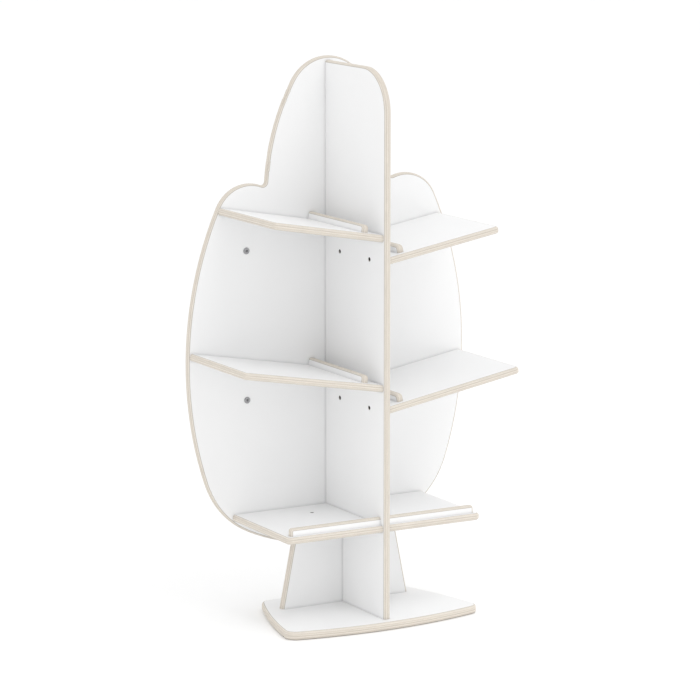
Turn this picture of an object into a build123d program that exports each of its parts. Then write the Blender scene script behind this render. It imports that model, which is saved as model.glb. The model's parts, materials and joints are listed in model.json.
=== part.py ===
from build123d import *
import os
from collections import namedtuple
from math import atan2, cos, degrees, radians, sin, sqrt, tan

# A free-standing, tree-shaped bookcase of white-faced plywood with bare, rounded edges.
# Millimetres and degrees. X runs to the right, Y to the back, Z up. The origin is on the
# floor, under the middle of the bookcase, and books go in from the front, which faces -Y.

# Overall size and boards
overall_height = 1183.0
overall_depth = 289.0
board = 15.0
base_board = 18.0               # base plate and trunk panel
arris = 5.5                     # round-over along the boards' bare edges

# Centre divider
divider_height = 1174.0
divider_reach = 252.0           # from the back panel's front face to the divider's front edge
divider_corner = 90.0

# Tree outline of the back panel, right half
crown_radius = 98.0
crown_sweep = 60.0              # turn of the crown's arc, from the top to the flank
shoulder_x = 189.0
shoulder_z = 841.5
shoulder_radius = 82.0
notch_x = 149.5                 # where the flank runs down into the shoulder
notch_radius = 8.0
widest_x = 337.0
widest_z = 543.0
hip_angle = 18.8                # slope of the outline, from vertical, at the top of the hip
hip_radius = 193.0
belly_angle = 64.5              # slope of the outline, from vertical, at the end of the hip

# Base plate
base_front_bow = 31.0           # how far the front edge bows forward
base_side_bow = 9.0             # how far the side edges bow outwards
base_front_half = 234.0         # half widths to the corners, before these are rounded
base_back_half = 158.0
base_corner = 24.0

# Trunk panel, halved into the divider
trunk_setback = 55.5            # from the back panel's front face to the trunk panel's rear face
trunk_half_bottom = 154.0
trunk_half_top = 116.5

# Bottom shelf and its front lips
bottom_shelf_top = 219.0
bottom_shelf_half = 233.0
bottom_shelf_corner = 12.0
shelf_depth = 246.0
lip_reach = 236.0               # from the back panel's front face to a lip's front face
lip_height = 16.0
lip_half = 221.0
lip_corner = 6.0

# Sloping shelves
shelf_tilt = 10.0
shelf_corner = 8.0
tier_gap = 314.5                # from a middle shelf up to the upper shelf on its side
left_upper_top = 833.0          # height of the top surface where it meets the divider
right_upper_top = 785.5
left_upper_half = 261.5         # from the middle out to a shelf's outer end
right_upper_half = 273.0
left_middle_half = 330.5
right_middle_half = 326.5

# Book stops, measured in the slope of their shelf
stop_inset = 28.5               # from the divider to the stop
stop_length = 232.0
stop_height = 16.0
stop_corner = 9.0

# Fasteners
Screw = namedtuple("Screw", "head shank length socket")
base_screw = Screw(head=9.0, shank=5.0, length=50.0, socket=4.0)
shelf_screw = Screw(head=9.0, shank=5.0, length=50.0, socket=4.0)
panel_screw = Screw(head=8.0, shank=4.0, length=40.0, socket=3.0)
stop_screw = Screw(head=7.0, shank=3.5, length=25.0, socket=2.5)
head_rim = 0.5                  # straight rim above a countersunk head's cone
socket_depth = 2.2
sunk = 0.5                      # how deep a screw head sits below the surface
shelf_screw_sunk = 1.2
fit_gap = 0.05                  # radial room between a fastener and its hole
hole_overrun = 3.0
divider_screw_setbacks = (28.0, 130.0, 222.0)
trunk_screw_xs = (50.0, 115.0)
shelf_screw_setbacks = (62.0, 187.0)
divider_back_screw_heights = (260.0, 410.0, 640.0, 900.0, 1100.0)
back_screw_shares = (0.3, 0.8)  # places along a shelf, as shares of its length
bottom_shelf_screw_x = 77.0
bottom_shelf_back_screw_xs = (77.0, 190.0)
stop_screw_setbacks = (40.0, 190.0)
lip_screw_xs = (45.0, 118.0, 190.0)

# Flanged sleeve nuts in the back panel
nut_x = 197.5
nut_heights = (463.5, 782.5)
nut_flange_radius = 7.0
nut_flange = 1.4
nut_flange_round = 0.6
nut_barrel_radius = 4.5
nut_barrel = 14.0
nut_thread_radius = 3.0
nut_socket = 5.0
nut_socket_depth = 3.5

# Planes that follow from the sizes above
panel_back = overall_depth / 2
panel_front = panel_back - board
base_front = -overall_depth / 2
divider_front = panel_front - divider_reach
divider_side = board / 2
shelf_front = panel_front - shelf_depth
lip_front = panel_front - lip_reach
lip_middle_y = lip_front + board / 2
trunk_back = panel_front - trunk_setback
trunk_front = trunk_back - base_board
trunk_middle_y = trunk_back - base_board / 2
bottom_shelf_base = bottom_shelf_top - board
halving_y = panel_front - shelf_depth / 2
halving_z = (base_board + bottom_shelf_base) / 2
tilt = radians(shelf_tilt)


def block(low, high):
    """A box between two opposite corners."""
    size = [b - a for a, b in zip(low, high)]
    middle = [(a + b) / 2 for a, b in zip(low, high)]
    return Pos(*middle) * Box(*size)


def rounded_board(outline, thickness, is_bare):
    """A board on the XY plane, rounded over where is_bare says that its outline is bare."""
    solid = extrude(outline, thickness)
    flat_faces = solid.faces().filter_by(Axis.Z)
    edges = [edge for face in flat_faces for edge in face.edges()]
    return fillet([edge for edge in edges if is_bare(edge @ 0.5)], arris)


# Fasteners ------------------------------------------------------------------------------

def turned(points):
    """A solid of revolution about Z, from (radius, height) points."""
    return revolve(Plane.XZ * make_face(Polyline(*points, close=True)), Axis.Z)


def hex_pocket(width, depth):
    """A hexagonal pocket, width across flats, reaching down from z = 0."""
    return extrude(RegularPolygon(width / sqrt(3), 6), -depth)


def screw_body(kind):
    """A countersunk screw with a hexagonal socket, its head's top at z = 0, pointing down."""
    head, shank = kind.head / 2, kind.shank / 2
    cone_end = -head_rim - (head - shank)
    outline = [(0, 0), (head, 0), (head, -head_rim), (shank, cone_end),
               (shank, shank - kind.length), (0, -kind.length)]
    return turned(outline) - hex_pocket(kind.socket, socket_depth)


def screw_hole(kind):
    """The hole for a screw, a little wider and deeper, and open above its head."""
    head, shank = kind.head / 2 + fit_gap, kind.shank / 2 + fit_gap
    cone_end = -head_rim - (head - shank)
    outline = [(0, hole_overrun), (head, hole_overrun), (head, -head_rim), (shank, cone_end),
               (shank, shank - kind.length - fit_gap), (0, -kind.length - fit_gap)]
    return turned(outline)


def sleeve_nut():
    """A flanged sleeve nut on the z axis, flange up, its flange's underside at z = 0."""
    body = Cylinder(nut_barrel_radius, nut_barrel, align=(Align.CENTER, Align.CENTER, Align.MAX))
    flange = Cylinder(nut_flange_radius, nut_flange, align=(Align.CENTER, Align.CENTER, Align.MIN))
    rim = flange.edges().filter_by(GeomType.CIRCLE).sort_by(Axis.Z)[-1]
    body += fillet(rim, nut_flange_round)
    bore_top = nut_flange - nut_socket_depth
    bore_depth = nut_barrel + bore_top
    bore = Cylinder(nut_thread_radius, bore_depth, align=(Align.CENTER, Align.CENTER, Align.MAX))
    socket = Pos(0, 0, nut_flange) * hex_pocket(nut_socket, nut_socket_depth)
    return body - Pos(0, 0, bore_top) * bore - socket


def seat(point, outward):
    """Where a fastener goes: its head's top at point, facing outward."""
    return Plane(origin=point, z_dir=outward).location


def fastener_group(body, seats):
    """Identical fasteners as separate solids."""
    return Compound(children=[place * body for place in seats])


def drilled(solid, kind, seats):
    """The solid with the holes for a group of screws."""
    hole = screw_hole(kind)
    for place in seats:
        solid -= place * hole
    return solid


# Where things sit on a sloping shelf ------------------------------------------------------

def slope_plane(side, top):
    """Plane on a sloping shelf's top, at the divider and the back panel; side is 1 or -1.

    Its x axis runs to the right, along the slope, and its y axis to the back.
    """
    up = (-side * sin(tilt), 0, cos(tilt))
    along = (cos(tilt), 0, side * sin(tilt))
    return Plane(origin=(side * divider_side, panel_front, top), x_dir=along, z_dir=up)


def slope_point(side, top, along, back, up):
    """Point on a slope: along from the divider, back from the back panel, up from the top."""
    return slope_plane(side, top).from_local_coords((side * along, back, up))


def slope_length(half):
    """Length, along the slope, of a shelf that ends at half from the middle."""
    return (half - divider_side) / cos(tilt)


def shelf_screw_seats(side):
    """Screws that hold a side's shelves, driven along their slope from the divider's far face."""
    centre = -board / 2
    far = -board / cos(tilt) + shelf_screw_sunk + centre * tan(tilt)
    outward = (-side * cos(tilt), 0, -sin(tilt))
    return [seat(slope_point(side, shelf.top, far, -setback, centre), outward)
            for shelf in sloping_shelves.values() if shelf.side == side
            for setback in shelf_screw_setbacks]


def stop_screw_seats(side, top):
    """Screws that come up through a sloping shelf into its book stop."""
    along = stop_inset + board / 2
    down = slope_plane(side, top).z_dir * -1
    return [seat(slope_point(side, top, along, -setback, sunk - board), down)
            for setback in stop_screw_setbacks]


def back_screw_seats(side, top, half):
    """Screws that come through the back panel into a sloping shelf."""
    points = [slope_point(side, top, share * slope_length(half), board - sunk, -board / 2)
              for share in back_screw_shares]
    return [seat(point, (0, 1, 0)) for point in points]


# Boards -------------------------------------------------------------------------------

def tree_outline():
    """The back panel's face, drawn in X and Z: a crown, two shoulders and a round body."""
    crown_z = overall_height - crown_radius
    crown = CenterArc((0, crown_z), crown_radius, 90, -crown_sweep)

    notch_rise = sqrt(shoulder_radius**2 - (shoulder_x - notch_x) ** 2)
    notch = (notch_x, shoulder_z + notch_rise)
    flank = TangentArc(crown @ 1, notch, tangent=crown % 1)

    # The side's circle encloses and touches the shoulder's, and is upright at the widest point.
    inset = widest_x - shoulder_x
    drop = shoulder_z - widest_z
    side_radius = (inset**2 + drop**2 - shoulder_radius**2) / (2 * (inset - shoulder_radius))
    side_x = widest_x - side_radius
    side_start = degrees(atan2(drop, shoulder_x - side_x))
    notch_angle = degrees(atan2(notch_rise, notch_x - shoulder_x))
    shoulder = CenterArc((shoulder_x, shoulder_z), shoulder_radius, notch_angle,
                         side_start - notch_angle)
    side = CenterArc((side_x, widest_z), side_radius, side_start, -side_start - hip_angle)

    hip_inset = side_radius - hip_radius
    hip_x = side_x + hip_inset * cos(radians(hip_angle))
    hip_z = widest_z - hip_inset * sin(radians(hip_angle))
    hip = CenterArc((hip_x, hip_z), hip_radius, -hip_angle, hip_angle - belly_angle)

    belly_x = (hip @ 1).X
    belly_radius = belly_x / cos(radians(belly_angle))
    belly_z = (hip @ 1).Y + belly_radius * sin(radians(belly_angle))
    belly = CenterArc((0, belly_z), belly_radius, -belly_angle, belly_angle - 90)

    right = [crown, flank, shoulder, side, hip, belly]
    left = [mirror(arc, Plane.YZ) for arc in right]
    face = make_face(right + left)
    notches = [corner for corner in face.vertices()
               if abs(abs(corner.X) - notch_x) < 0.01 and corner.Y > shoulder_z]
    return fillet(notches, notch_radius)


def make_back_panel():
    flat = rounded_board(tree_outline(), board, lambda middle: True)
    panel = Plane(origin=(0, panel_back, 0), x_dir=(1, 0, 0), z_dir=(0, -1, 0)) * flat
    for place in nut_seats:
        panel -= place * Cylinder(nut_barrel_radius + fit_gap, 3 * board)
    panel = drilled(panel, panel_screw, divider_back_seats)
    return drilled(panel, panel_screw, shelf_back_seats)


def make_base_plate():
    corner_y = base_front + base_front_bow
    back_right = (base_back_half, panel_back)
    front_right = (base_front_half, corner_y)
    front_left = (-base_front_half, corner_y)
    side_middle = ((base_back_half + base_front_half) / 2 + base_side_bow, (panel_back + corner_y) / 2)
    right_side = ThreePointArc(back_right, side_middle, front_right)
    left_side = mirror(right_side, Plane.YZ)
    front = ThreePointArc(front_right, (0, base_front), front_left)
    back = Line(back_right, left_side @ 0)
    outline = fillet(make_face([back, right_side, front, left_side]).vertices(), base_corner)
    plate = rounded_board(outline, base_board, lambda middle: True)
    return drilled(plate, base_screw, base_seats)


def make_divider():
    arc_y = divider_front + divider_corner
    arc_z = divider_height - divider_corner
    corner = CenterArc((arc_y, arc_z), divider_corner, 90, 90)
    outline = make_face([
        Line((panel_front, base_board), (panel_front, divider_height)),
        Line((panel_front, divider_height), corner @ 0),
        corner,
        Line(corner @ 1, (divider_front, base_board)),
        Line((divider_front, base_board), (panel_front, base_board)),
    ])

    def is_bare(middle):
        return middle.X < panel_front - 1 and middle.Y > base_board + 1

    flat = rounded_board(outline, board, is_bare)
    divider = Plane(origin=(-divider_side, 0, 0), x_dir=(0, 1, 0), z_dir=(1, 0, 0)) * flat
    divider -= block((-board, trunk_front, 0), (board, trunk_back, halving_z))
    divider -= block((-board, halving_y, bottom_shelf_base), (board, panel_back, bottom_shelf_top))
    divider = drilled(divider, base_screw, base_seats)
    divider = drilled(divider, panel_screw, divider_back_seats)
    divider = drilled(divider, shelf_screw, shelf_screw_seats(1))
    return drilled(divider, shelf_screw, shelf_screw_seats(-1))


def make_trunk_panel():
    outline = make_face(Polyline(
        (-trunk_half_bottom, base_board), (trunk_half_bottom, base_board),
        (trunk_half_top, bottom_shelf_base), (-trunk_half_top, bottom_shelf_base), close=True))

    def is_bare(middle):
        return abs(middle.X) > 1

    flat = rounded_board(outline, base_board, is_bare)
    panel = Plane(origin=(0, trunk_back, 0), x_dir=(1, 0, 0), z_dir=(0, -1, 0)) * flat
    slot_low = (-divider_side, shelf_front, halving_z)
    slot_high = (divider_side, panel_front, overall_height)
    panel -= block(slot_low, slot_high)
    panel = drilled(panel, base_screw, base_seats)
    return drilled(panel, panel_screw, trunk_seats)


def make_bottom_shelf():
    outline = make_face(Polyline(
        (-bottom_shelf_half, panel_front), (bottom_shelf_half, panel_front),
        (bottom_shelf_half, shelf_front), (-bottom_shelf_half, shelf_front), close=True))
    front_corners = outline.vertices().filter_by(lambda corner: corner.Y < 0)
    outline = fillet(front_corners, bottom_shelf_corner)

    def is_bare(middle):
        return middle.Y < panel_front - 1

    shelf = Pos(0, 0, bottom_shelf_base) * rounded_board(outline, board, is_bare)
    shelf -= block((-divider_side, divider_front, 0), (divider_side, halving_y, overall_height))
    shelf = drilled(shelf, panel_screw, trunk_seats)
    shelf = drilled(shelf, panel_screw, shelf_back_seats)
    return drilled(shelf, stop_screw, lip_seats)


def make_sloping_shelf(side, top, half):
    """A sloping shelf, its inner end cut upright to lie against the divider."""
    inner = -side * board
    outer = side * slope_length(half)
    outline = make_face(Polyline((inner, 0), (outer, 0), (outer, -shelf_depth),
                                 (inner, -shelf_depth), close=True))
    outer_corner = [corner for corner in outline.vertices()
                    if abs(corner.X - outer) < 1 and corner.Y < -1]
    outline = fillet(outer_corner, shelf_corner)

    def is_bare(middle):
        return middle.Y < -1 and abs(middle.X - inner) > 1

    flat = Pos(0, 0, -board) * rounded_board(outline, board, is_bare)
    shelf = slope_plane(side, top) * flat
    low_x, high_x = sorted((-side * overall_height, side * divider_side))
    shelf -= block((low_x, divider_front, 0), (high_x, panel_back, overall_height))
    shelf = drilled(shelf, shelf_screw, shelf_screw_seats(side))
    shelf = drilled(shelf, panel_screw, shelf_back_seats)
    return drilled(shelf, stop_screw, stop_screw_seats(side, top))


def make_book_stop(side, top):
    """A strip that stands on a sloping shelf, beside the divider, from back to front."""
    outline = make_face(Polyline((0, 0), (0, stop_height), (-stop_length, stop_height),
                                 (-stop_length, 0), close=True))
    front_top = [corner for corner in outline.vertices() if corner.X < -1 and corner.Y > 1]
    outline = fillet(front_top, stop_corner)

    def is_bare(middle):
        return middle.X < -1 and middle.Y > 1

    flat = rounded_board(outline, board, is_bare)
    near = stop_inset if side > 0 else -stop_inset - board
    upright = Plane(origin=(near, 0, 0), x_dir=(0, 1, 0), z_dir=(1, 0, 0)) * flat
    stop = slope_plane(side, top).location * upright
    return drilled(stop, stop_screw, stop_screw_seats(side, top))


def make_front_lip(side):
    """A strip along the bottom shelf's front edge, from the divider outwards."""
    inner, outer = side * divider_side, side * lip_half
    lip_top = bottom_shelf_top + lip_height
    outline = make_face(Polyline((inner, bottom_shelf_top), (outer, bottom_shelf_top),
                                 (outer, lip_top), (inner, lip_top), close=True))
    outer_top = [corner for corner in outline.vertices()
                 if abs(corner.X - outer) < 1 and corner.Y > lip_top - 1]
    outline = fillet(outer_top, lip_corner)

    def is_bare(middle):
        return middle.Y > bottom_shelf_top + 1 and abs(middle.X - inner) > 1

    flat = rounded_board(outline, board, is_bare)
    lip = Plane(origin=(0, lip_front + board, 0), x_dir=(1, 0, 0), z_dir=(0, -1, 0)) * flat
    return drilled(lip, stop_screw, lip_seats)


# Assembly -----------------------------------------------------------------------------

SlopingShelf = namedtuple("SlopingShelf", "side top half")
sloping_shelves = {
    "upper_left": SlopingShelf(-1, left_upper_top, left_upper_half),
    "upper_right": SlopingShelf(1, right_upper_top, right_upper_half),
    "middle_left": SlopingShelf(-1, left_upper_top - tier_gap, left_middle_half),
    "middle_right": SlopingShelf(1, right_upper_top - tier_gap, right_middle_half),
}
both_sides = (-1, 1)

base_seats = [seat((0, panel_front - setback, sunk), (0, 0, -1))
              for setback in divider_screw_setbacks]
base_seats += [seat((side * x, trunk_middle_y, sunk), (0, 0, -1))
               for side in both_sides for x in trunk_screw_xs]
trunk_seats = [seat((side * bottom_shelf_screw_x, trunk_middle_y, bottom_shelf_top - sunk), (0, 0, 1))
               for side in both_sides]
divider_back_seats = [seat((0, panel_back - sunk, z), (0, 1, 0)) for z in divider_back_screw_heights]
bottom_shelf_middle = bottom_shelf_base + board / 2
shelf_back_seats = [seat((side * x, panel_back - sunk, bottom_shelf_middle), (0, 1, 0))
                    for side in both_sides for x in bottom_shelf_back_screw_xs]
book_stop_seats = []
for shelf in sloping_shelves.values():
    shelf_back_seats += back_screw_seats(shelf.side, shelf.top, shelf.half)
    book_stop_seats += stop_screw_seats(shelf.side, shelf.top)
lip_seats = [seat((side * x, lip_middle_y, bottom_shelf_base + sunk), (0, 0, -1))
             for side in both_sides for x in lip_screw_xs]
nut_seats = [seat((side * nut_x, panel_front, z), (0, -1, 0))
             for side in both_sides for z in nut_heights]

nodes = {
    "base_plate": make_base_plate(),
    "centre_divider": make_divider(),
    "back_panel": make_back_panel(),
    "trunk_panel": make_trunk_panel(),
    "bottom_shelf": make_bottom_shelf(),
    "front_lip_left": make_front_lip(-1),
    "front_lip_right": make_front_lip(1),
    "base_screws": fastener_group(screw_body(base_screw), base_seats),
    "trunk_screws": fastener_group(screw_body(panel_screw), trunk_seats),
    "left_shelf_screws": fastener_group(screw_body(shelf_screw), shelf_screw_seats(-1)),
    "right_shelf_screws": fastener_group(screw_body(shelf_screw), shelf_screw_seats(1)),
    "divider_back_screws": fastener_group(screw_body(panel_screw), divider_back_seats),
    "shelf_back_screws": fastener_group(screw_body(panel_screw), shelf_back_seats),
    "book_stop_screws": fastener_group(screw_body(stop_screw), book_stop_seats),
    "front_lip_screws": fastener_group(screw_body(stop_screw), lip_seats),
    "panel_sleeve_nuts": fastener_group(sleeve_nut(), nut_seats),
}
for name, (side, top, half) in sloping_shelves.items():
    nodes[f"{name}_shelf"] = make_sloping_shelf(side, top, half)
    nodes[f"{name}_book_stop"] = make_book_stop(side, top)

os.makedirs("parts", exist_ok=True)
for name, shape in nodes.items():
    export_step(shape, f"parts/{name}.step")
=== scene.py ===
import json
from math import cos, radians, sin

import bpy
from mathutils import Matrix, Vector


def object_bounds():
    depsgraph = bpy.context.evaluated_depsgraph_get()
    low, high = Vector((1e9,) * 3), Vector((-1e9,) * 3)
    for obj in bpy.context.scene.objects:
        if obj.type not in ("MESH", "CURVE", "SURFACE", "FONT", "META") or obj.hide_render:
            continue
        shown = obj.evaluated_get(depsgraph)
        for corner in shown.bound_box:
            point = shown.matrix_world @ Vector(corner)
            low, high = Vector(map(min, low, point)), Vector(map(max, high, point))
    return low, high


# Looks of a tree-shaped bookcase of white-faced plywood. Metres; X right, Y back, Z up.
# The boards, screws and sleeve nuts are the CAD's own; this script gives them their materials,
# and adds the floor, the light and the camera.

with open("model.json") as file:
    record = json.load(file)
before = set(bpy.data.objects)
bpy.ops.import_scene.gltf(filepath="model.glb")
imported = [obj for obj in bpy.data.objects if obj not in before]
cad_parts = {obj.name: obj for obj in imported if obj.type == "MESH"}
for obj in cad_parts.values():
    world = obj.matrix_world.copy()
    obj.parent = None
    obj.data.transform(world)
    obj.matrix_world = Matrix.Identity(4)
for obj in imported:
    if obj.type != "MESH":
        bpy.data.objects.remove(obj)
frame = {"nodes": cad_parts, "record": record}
cad_low, cad_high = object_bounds()
nodes = frame["nodes"]

# Layers of a board
SHELF_TILT = radians(10)
SKIN = 0.0001                   # white surface of the laminate on each face of a board
CORE = 0.0005                   # darker core of the laminate, under its white surface
PLY = 0.0021                    # thickness of one veneer
GLUE_SHARE = 0.09               # share of a veneer's thickness over which a glue line fades, each side
SKIN_BLUR = (0.8, 1.2)          # the white fades out between these shares of its depth
CORE_BLUR = (0.9, 1.1)          # and the core between these shares of the depth that it reaches

# Colours of a board
WHITE = (0.88, 0.88, 0.88, 1)
WHITE_SHADE = (0.867, 0.869, 0.871, 1)
CORE_TONE = (0.52, 0.48, 0.43, 1)
LONG_GRAIN = (0.73, 0.68, 0.61, 1)
END_GRAIN = (0.64, 0.58, 0.50, 1)
GLUE = (0.45, 0.39, 0.33, 1)

# Grain of the veneers
STREAK_SCALE = 38.0
STREAK_SQUEEZE = 0.055          # metres that the streak pattern moves on across one veneer
FINE_SCALE = 900.0
END_GRAIN_POWER = 1.5           # weakens end grain where an edge faces it aslant
STREAK_TONE = (-0.10, 0.08)     # what each pattern takes from or adds to a tone of 1
VENEER_TONE = (-0.05, 0.05)
FINE_TONE = (-0.06, 0.06)
GLUE_BREAKS = (0.5, 1.0)        # strength of a glue line in weak and in strong streaks

# Surface of a board
CLOUD_SCALE = 2.6
SMUDGE_SCALE = 11.0
PEEL_SCALE = 520.0
WHITE_ROUGHNESS = (0.38, 0.5)
BARE_ROUGHNESS = 0.62
PEEL_RELIEF = 0.05
WOOD_RELIEF = 0.6
STREAK_RELIEF = 0.6
BOARD_BUMP = (0.5, 0.0002)      # strength, and distance in metres
SEAM_REACH = 0.006              # how far the painted shade spreads from where two boards meet
SEAM_OPENNESS = 0.5             # openness at which that shade is at its darkest
SEAM_TONE = 0.84                # share of a board's tone that is left there

# Metals
SCREW_DARK = (0.012, 0.012, 0.013, 1)
SCREW_LIGHT = (0.03, 0.03, 0.032, 1)
ZINC_DARK = (0.30, 0.30, 0.31, 1)
ZINC_LIGHT = (0.42, 0.42, 0.43, 1)
METAL_BUMP_DISTANCE = 0.00005

# Noise textures mostly stay between these values.
NOISE_RANGE = (0.3, 0.7)

# Floor and light
FLOOR_REACH = 30.0
FLOOR_DARK = (0.98, 0.98, 0.98, 1)
FLOOR_LIGHT = (0.99, 0.99, 0.99, 1)
FLOOR_CLOUD_SCALE = 1.5
FLOOR_ROUGHNESS = 0.9
WORLD_COLOUR = (1, 1, 1, 1)
WORLD_STRENGTH = 1.03
ABOVE_BASE = (0, 0, 0.12)
BASE_FRONT = (0, -0.14, 0)

# Camera; angles in degrees, lens and sensor in millimetres
CAMERA_AIM = Vector((-0.021, 0.0, 0.576))
CAMERA_DISTANCE = 6.905
CAMERA_AZIMUTH = -29.6
CAMERA_ELEVATION = 10.44
CAMERA_LENS = 169.1
CAMERA_SENSOR = 36.0
CAMERA_CLIP_END = 100.0

# Inputs and outputs of a mix node, which have the same names for numbers and for colours
MIX_FACTOR = 0
MIX_NUMBERS = (2, 3)
MIX_COLOURS = (6, 7)
MIXED_NUMBER = 0
MIXED_COLOUR = 2


# Shader graphs --------------------------------------------------------------------------

class Graph:
    """One material's node tree, with short calls that add nodes and return their outputs."""

    def __init__(self, name):
        self.material = bpy.data.materials.new(name)
        self.material.use_nodes = True
        self.tree = self.material.node_tree
        self.shader = next(n for n in self.tree.nodes if n.type == "BSDF_PRINCIPLED")

    def put(self, socket, value):
        if isinstance(value, bpy.types.NodeSocket):
            self.tree.links.new(value, socket)
        else:
            socket.default_value = value

    def add(self, kind, inputs, output=0, **settings):
        node = self.tree.nodes.new(kind)
        for name, value in settings.items():
            setattr(node, name, value)
        for key, value in inputs.items():
            self.put(node.inputs[key], value)
        return node.outputs[output]

    def math(self, operation, *values):
        return self.add("ShaderNodeMath", dict(enumerate(values)), operation=operation)

    def dot(self, vector, direction):
        inputs = {0: vector, 1: direction}
        return self.add("ShaderNodeVectorMath", inputs, "Value", operation="DOT_PRODUCT")

    def shift(self, vector, offset):
        inputs = {0: vector, 1: offset}
        return self.add("ShaderNodeVectorMath", inputs, "Vector", operation="ADD")

    def scale(self, vector, factor):
        inputs = {0: vector, "Scale": factor}
        return self.add("ShaderNodeVectorMath", inputs, operation="SCALE")

    def position(self):
        return self.add("ShaderNodeTexCoord", {}, "Object")

    def noise(self, where, scale, detail, roughness=0.5):
        inputs = {"Vector": where, "Scale": scale, "Detail": detail, "Roughness": roughness}
        return self.add("ShaderNodeTexNoise", inputs, "Fac")

    def remap(self, value, low, high, to_low=0.0, to_high=1.0):
        inputs = {
            "Value": value,
            "From Min": low,
            "From Max": high,
            "To Min": to_low,
            "To Max": to_high,
        }
        return self.add("ShaderNodeMapRange", inputs, "Result", clamp=True)

    def mix(self, factor, first, second):
        """A colour between first and second."""
        inputs = {MIX_FACTOR: factor, MIX_COLOURS[0]: first, MIX_COLOURS[1]: second}
        return self.add("ShaderNodeMix", inputs, MIXED_COLOUR, data_type="RGBA")

    def blend(self, factor, first, second):
        """A number between first and second."""
        inputs = {MIX_FACTOR: factor, MIX_NUMBERS[0]: first, MIX_NUMBERS[1]: second}
        return self.add("ShaderNodeMix", inputs, MIXED_NUMBER)

    def bump(self, height, strength, distance):
        inputs = {"Height": height, "Strength": strength, "Distance": distance}
        return self.add("ShaderNodeBump", inputs, "Normal")

    def finish(self, **sockets):
        for name, value in sockets.items():
            self.put(self.shader.inputs[name.replace("_", " ")], value)
        return self.material


# Plywood --------------------------------------------------------------------------------

def grain_axes(across):
    """Two directions in a board's plane, square to its thickness."""
    up = Vector((0, 0, 1)) if abs(across.z) < 0.5 else Vector((0, 1, 0))
    first = (up - up.dot(across) * across).normalized()
    return first, across.cross(first)


def end_grain_share(graph, number, across):
    """How squarely an edge shows end grain; number counts the veneers."""
    first, second = grain_axes(across)
    normal = graph.add("ShaderNodeNewGeometry", {}, "Normal")
    ends_first = graph.math("ABSOLUTE", graph.dot(normal, first))
    ends_second = graph.math("ABSOLUTE", graph.dot(normal, second))

    # Veneers take turns: one shows its long grain where the next shows its end grain.
    is_odd = graph.math("MODULO", number, 2.0)
    return graph.math("POWER", graph.blend(is_odd, ends_first, ends_second), END_GRAIN_POWER)


def ply_edge(graph, where, depth, across, plies):
    """Colour and height of a board's bare edge; depth is 0 to 1 through its thickness."""
    layer = graph.math("MULTIPLY", depth, plies)
    number = graph.math("FLOOR", layer)

    # Streaks run along the veneers, so the noise is squeezed through the thickness.
    squeeze = graph.math("MULTIPLY", depth, plies * STREAK_SQUEEZE)
    streaked = graph.shift(where, graph.scale(tuple(across), squeeze))
    streak = graph.noise(streaked, STREAK_SCALE, 3.0, 0.6)
    fine = graph.noise(where, FINE_SCALE, 2.0, 0.6)
    own_tone = graph.add("ShaderNodeTexWhiteNoise", {"W": number}, "Value", noise_dimensions="1D")

    tone = graph.math(
        "ADD",
        graph.remap(streak, *NOISE_RANGE, *STREAK_TONE),
        graph.remap(own_tone, 0, 1, *VENEER_TONE),
    )
    tone = graph.math("ADD", tone, graph.remap(fine, *NOISE_RANGE, *FINE_TONE))
    tone = graph.math("ADD", tone, 1.0)
    wood = graph.mix(end_grain_share(graph, number, across), LONG_GRAIN, END_GRAIN)
    wood = graph.scale(wood, tone)

    from_glue = graph.math("PINGPONG", graph.math("FRACT", layer), 0.5)
    glue = graph.remap(from_glue, 0.0, GLUE_SHARE, 1.0, 0.0)
    glue = graph.math("MULTIPLY", glue, graph.remap(streak, 0.35, 0.6, *GLUE_BREAKS))
    height = graph.math("SUBTRACT", graph.math("MULTIPLY", streak, STREAK_RELIEF), glue)
    return graph.mix(glue, wood, GLUE), height


def laminate(graph, where):
    """Colour, roughness and height of a white melamine face."""
    cloud = graph.noise(where, CLOUD_SCALE, 3.0, 0.55)
    smudge = graph.noise(where, SMUDGE_SCALE, 5.0, 0.6)
    peel = graph.noise(where, PEEL_SCALE, 1.0, 0.4)
    colour = graph.mix(graph.remap(cloud, 0.35, 0.65), WHITE, WHITE_SHADE)
    roughness = graph.remap(smudge, *NOISE_RANGE, *WHITE_ROUGHNESS)
    return colour, roughness, peel


def past(graph, to_face, limit, blur):
    """0 nearer a face than limit and 1 beyond it, with a soft step between."""
    return graph.remap(to_face, blur[0] * limit, blur[1] * limit)


def painted_seam_shade(graph, colour):
    """The colour with painted shade: darker where another surface is close."""
    openness = graph.add("ShaderNodeAmbientOcclusion", {"Distance": SEAM_REACH}, "AO")
    return graph.scale(colour, graph.remap(openness, SEAM_OPENNESS, 1.0, SEAM_TONE, 1.0))


def plywood(name, across, low, high):
    """White-faced plywood for one board, which spans low to high along the direction across."""
    graph = Graph("ply_" + name)
    thickness = high - low
    plies = round(thickness / PLY) // 2 * 2 + 1
    where = graph.position()
    depth = graph.remap(graph.dot(where, tuple(across)), low, high)
    to_face = graph.math("PINGPONG", depth, 0.5)
    bare = past(graph, to_face, SKIN / thickness, SKIN_BLUR)
    past_core = past(graph, to_face, (SKIN + CORE) / thickness, CORE_BLUR)

    white, white_roughness, peel = laminate(graph, where)
    wood, wood_height = ply_edge(graph, where, depth, across, plies)
    colour = graph.mix(bare, white, graph.mix(past_core, CORE_TONE, wood))
    roughness = graph.blend(bare, white_roughness, BARE_ROUGHNESS)
    peel_height = graph.math("MULTIPLY", peel, PEEL_RELIEF)
    wood_height = graph.math("MULTIPLY", wood_height, WOOD_RELIEF)
    relief = graph.blend(bare, peel_height, wood_height)
    return graph.finish(
        # The base colour carries painted shade in the creases where boards meet.
        Base_Color=painted_seam_shade(graph, colour),
        Roughness=roughness,
        Normal=graph.bump(relief, *BOARD_BUMP),
    )


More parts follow.
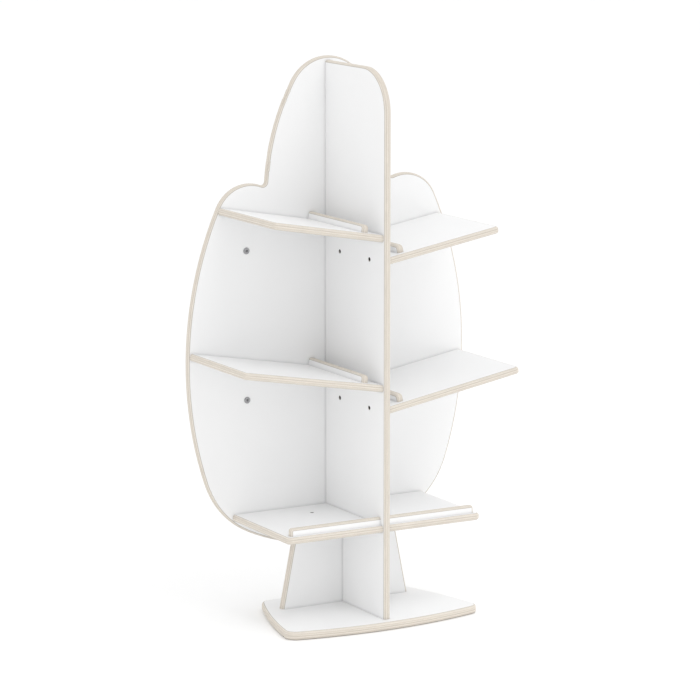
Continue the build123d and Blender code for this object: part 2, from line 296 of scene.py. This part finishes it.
def thickness_axis(name):
    """The direction through a board's thickness."""
    side = 1 if "right" in name else -1
    if name in ("base_plate", "bottom_shelf"):
        return Vector((0, 0, 1))
    if name == "centre_divider":
        return Vector((1, 0, 0))
    if name in ("back_panel", "trunk_panel") or name.startswith("front_lip"):
        return Vector((0, 1, 0))
    if name.endswith("book_stop"):
        return Vector((cos(SHELF_TILT), 0, side * sin(SHELF_TILT)))
    return Vector((-side * sin(SHELF_TILT), 0, cos(SHELF_TILT)))


# Metals ---------------------------------------------------------------------------------

def metal(name, dark, light, cloud_scale, wear_scale, metallic, roughness, relief):
    """A metal with a cloudy colour; wear varies its roughness and raises its surface a little."""
    graph = Graph(name)
    where = graph.position()
    worn = graph.noise(where, wear_scale, 2.0)
    return graph.finish(
        Base_Color=graph.mix(graph.noise(where, cloud_scale, 3.0), dark, light),
        Metallic=metallic,
        Roughness=graph.remap(worn, *NOISE_RANGE, *roughness),
        Normal=graph.bump(worn, relief, METAL_BUMP_DISTANCE),
    )


def black_screw():
    return metal("black_screw", SCREW_DARK, SCREW_LIGHT, cloud_scale=700.0, wear_scale=1600.0,
                 metallic=0.7, roughness=(0.32, 0.5), relief=0.3)


def zinc():
    return metal("zinc", ZINC_DARK, ZINC_LIGHT, cloud_scale=400.0, wear_scale=1300.0,
                 metallic=1.0, roughness=(0.34, 0.5), relief=0.25)


def paint(node, material):
    node.data.materials.clear()
    node.data.materials.append(material)


def paint_bookcase():
    metals = {"black_screw": black_screw(), "zinc_sleeve_nut": zinc()}
    for part in frame["record"]["subparts"]:
        name, slot = part["node"], part["material_slot"]
        node = nodes[name]
        if slot in metals:
            paint(node, metals[slot])
            continue
        across = thickness_axis(name)
        spans = [vertex.co.dot(across) for vertex in node.data.vertices]
        paint(node, plywood(name, across, min(spans), max(spans)))


# Stage ----------------------------------------------------------------------------------

def place(thing, azimuth, elevation, distance, aim):
    """Point a lamp or camera at aim from a distance; azimuth 0 is in front, and 90 on the right."""
    azimuth, elevation = radians(azimuth), radians(elevation)
    out = Vector((sin(azimuth) * cos(elevation), -cos(azimuth) * cos(elevation), sin(elevation)))
    thing.location = Vector(aim) + distance * out
    thing.rotation_euler = (-out).to_track_quat("-Z", "Y").to_euler()


def add_object(data):
    thing = bpy.data.objects.new(data.name, data)
    bpy.context.scene.collection.objects.link(thing)
    return thing


def make_floor():
    reach = FLOOR_REACH
    mesh = bpy.data.meshes.new("floor")
    corners = [(-reach, -reach, 0), (reach, -reach, 0), (reach, reach, 0), (-reach, reach, 0)]
    mesh.from_pydata(corners, [], [(0, 1, 2, 3)])
    floor = add_object(mesh)
    graph = Graph("floor_paper")
    cloud = graph.noise(graph.position(), FLOOR_CLOUD_SCALE, 3.0)
    colour = graph.mix(cloud, FLOOR_DARK, FLOOR_LIGHT)
    floor.data.materials.append(graph.finish(Base_Color=colour, Roughness=FLOOR_ROUGHNESS))


def area_light(name, azimuth, elevation, distance, size, power, aim):
    data = bpy.data.lights.new(name, "AREA")
    data.shape = "SQUARE"
    data.size = size
    data.energy = power
    place(add_object(data), azimuth, elevation, distance, aim)


def spot_light(name, azimuth, elevation, distance, radius, cone, power, aim):
    data = bpy.data.lights.new(name, "SPOT")
    data.spot_size = radians(cone)
    data.spot_blend = 1.0
    data.shadow_soft_size = radius
    data.energy = power
    place(add_object(data), azimuth, elevation, distance, aim)


def make_light():
    world = bpy.data.worlds.new("studio")
    world.use_nodes = True
    background = world.node_tree.nodes["Background"]
    background.inputs["Color"].default_value = WORLD_COLOUR
    background.inputs["Strength"].default_value = WORLD_STRENGTH
    bpy.context.scene.world = world
    area_light("key", azimuth=15, elevation=55, distance=5.0,
               size=3.0, power=33.0, aim=(cad_low + cad_high) / 2)
    area_light("low_right_fill", azimuth=80, elevation=4, distance=1.6,
               size=0.5, power=3.0, aim=ABOVE_BASE)
    area_light("low_left_fill", azimuth=-65, elevation=4, distance=1.6,
               size=0.5, power=0.7, aim=ABOVE_BASE)
    spot_light("base_fill", azimuth=-5, elevation=60, distance=2.5,
               radius=0.3, cone=13, power=34.0, aim=BASE_FRONT)


def make_camera():
    data = bpy.data.cameras.new("camera")
    data.lens = CAMERA_LENS
    data.sensor_width = CAMERA_SENSOR
    data.clip_end = CAMERA_CLIP_END
    camera = add_object(data)
    place(camera, CAMERA_AZIMUTH, CAMERA_ELEVATION, CAMERA_DISTANCE, CAMERA_AIM)
    bpy.context.scene.camera = camera


make_camera()
make_floor()
make_light()
paint_bookcase()
bpy.context.scene.view_settings.view_transform = "Standard"
